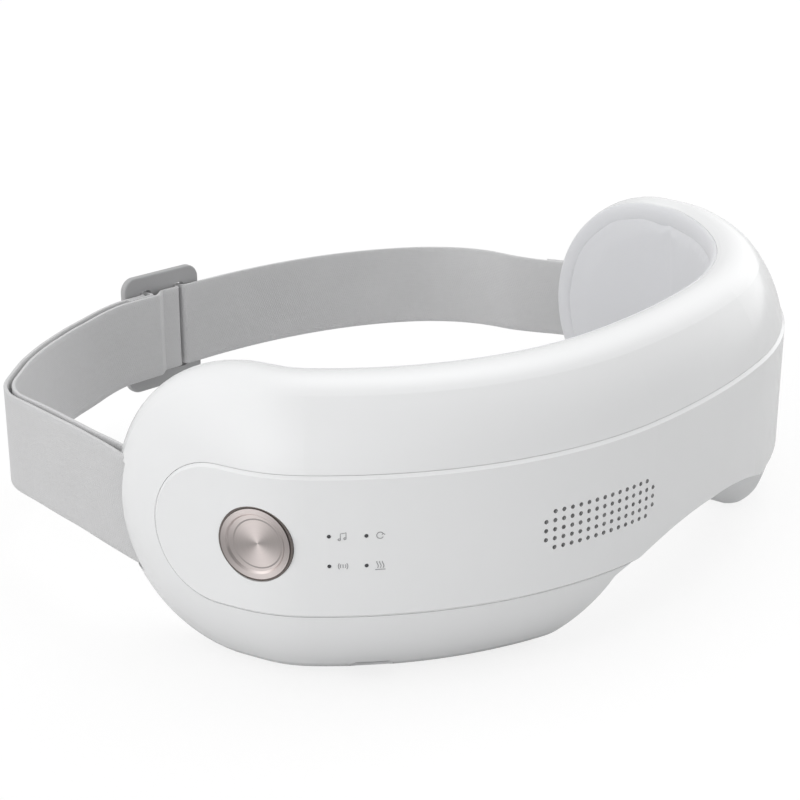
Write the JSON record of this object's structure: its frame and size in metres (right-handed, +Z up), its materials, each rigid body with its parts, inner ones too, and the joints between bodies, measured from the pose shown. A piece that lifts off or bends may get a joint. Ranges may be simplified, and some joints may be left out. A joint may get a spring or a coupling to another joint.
{
  "type": "eye massager mask",
  "caption": "Wraparound padded eye massager visor with a side power button, speaker grille and an adjustable elastic head strap with a three-bar buckle.",
  "frame": {"origin": "middle of the resting plane, under the middle of the whole width and depth", "axes": "+Z up as worn and as it rests, +Y from the visor's front to the back of the head, +X to the wearer's left seen from the front as right"},
  "size_m": [0.2136, 0.1866, 0.069],
  "materials": {
    "shell_white": "glossy white ABS",
    "frame_grey": "matt light grey",
    "cushion_grey": "smooth light-grey protein leather over foam",
    "film_amber": "polyimide film",
    "button_metal": "spun anodised, rose taupe",
    "bezel_dark": "matt black",
    "steel": "plated",
    "board_green": "solder mask",
    "led_white": "LED package",
    "guide_smoke": "smoked light guide",
    "black_plastic": "matt black",
    "cell_silver": "pouch foil",
    "foam_black": "foam",
    "weight_brass": "sintered",
    "strap_fabric": "grey elastic webbing",
    "buckle_grey": "satin grey moulding"
  },
  "bodies": {
    "visor": {"front_shell": "shell_white", "band_panel": "shell_white", "face_frame": "frame_grey", "case_screws": "steel", "face_cushion": "cushion_grey", "eye_pad_left": "cushion_grey", "eye_pad_right": "cushion_grey", "heating_film_left": "film_amber", "heating_film_right": "film_amber", "button_bezel": "bezel_dark", "tact_switch": "steel", "switch_board": "board_green", "main_board": "board_green", "charge_socket": "steel", "status_leds": "led_white", "light_guides": "guide_smoke", "battery_cell": "cell_silver", "speaker_frame": "black_plastic", "speaker_cone": "foam_black", "speaker_gasket": "foam_black", "speaker_mesh": "bezel_dark", "vibration_motor_left": "steel", "vibration_motor_right": "steel", "strap_pin_left": "steel", "strap_pin_right": "steel", "head_strap": "strap_fabric", "strap_buckle": "buckle_grey"},
    "power_button": {"power_button": "button_metal"},
    "switch_plunger": {"switch_plunger": "black_plastic"},
    "motor_weight_left": {"motor_weight_left": "weight_brass"},
    "motor_weight_right": {"motor_weight_right": "weight_brass"}
  },
  "joints": [
    {"name": "power_button_press", "type": "slide", "parent": "visor", "child": "power_button", "axis": [0.9613, 0.2756, 0], "range_m": [0, 0.0006], "stiffness_N_per_m": 2500, "springref_m": -0.0004},
    {"name": "switch_plunger_press", "type": "slide", "parent": "visor", "child": "switch_plunger", "axis": [0.9613, 0.2756, 0], "range_m": [0, 0.0006]},
    {"name": "motor_weight_left_spin", "type": "hinge", "parent": "visor", "child": "motor_weight_left", "pos_m": [-0.05934, -0.07026, 0.014], "axis": [0.8743, -0.4853, 0], "continuous": true},
    {"name": "motor_weight_right_spin", "type": "hinge", "parent": "visor", "child": "motor_weight_right", "pos_m": [0.05934, -0.07026, 0.014], "axis": [-0.8743, -0.4853, 0], "continuous": true}
  ],
  "couplings": [
    {"joint": "switch_plunger_press", "follows": "power_button_press", "ratio": 1}
  ]
}
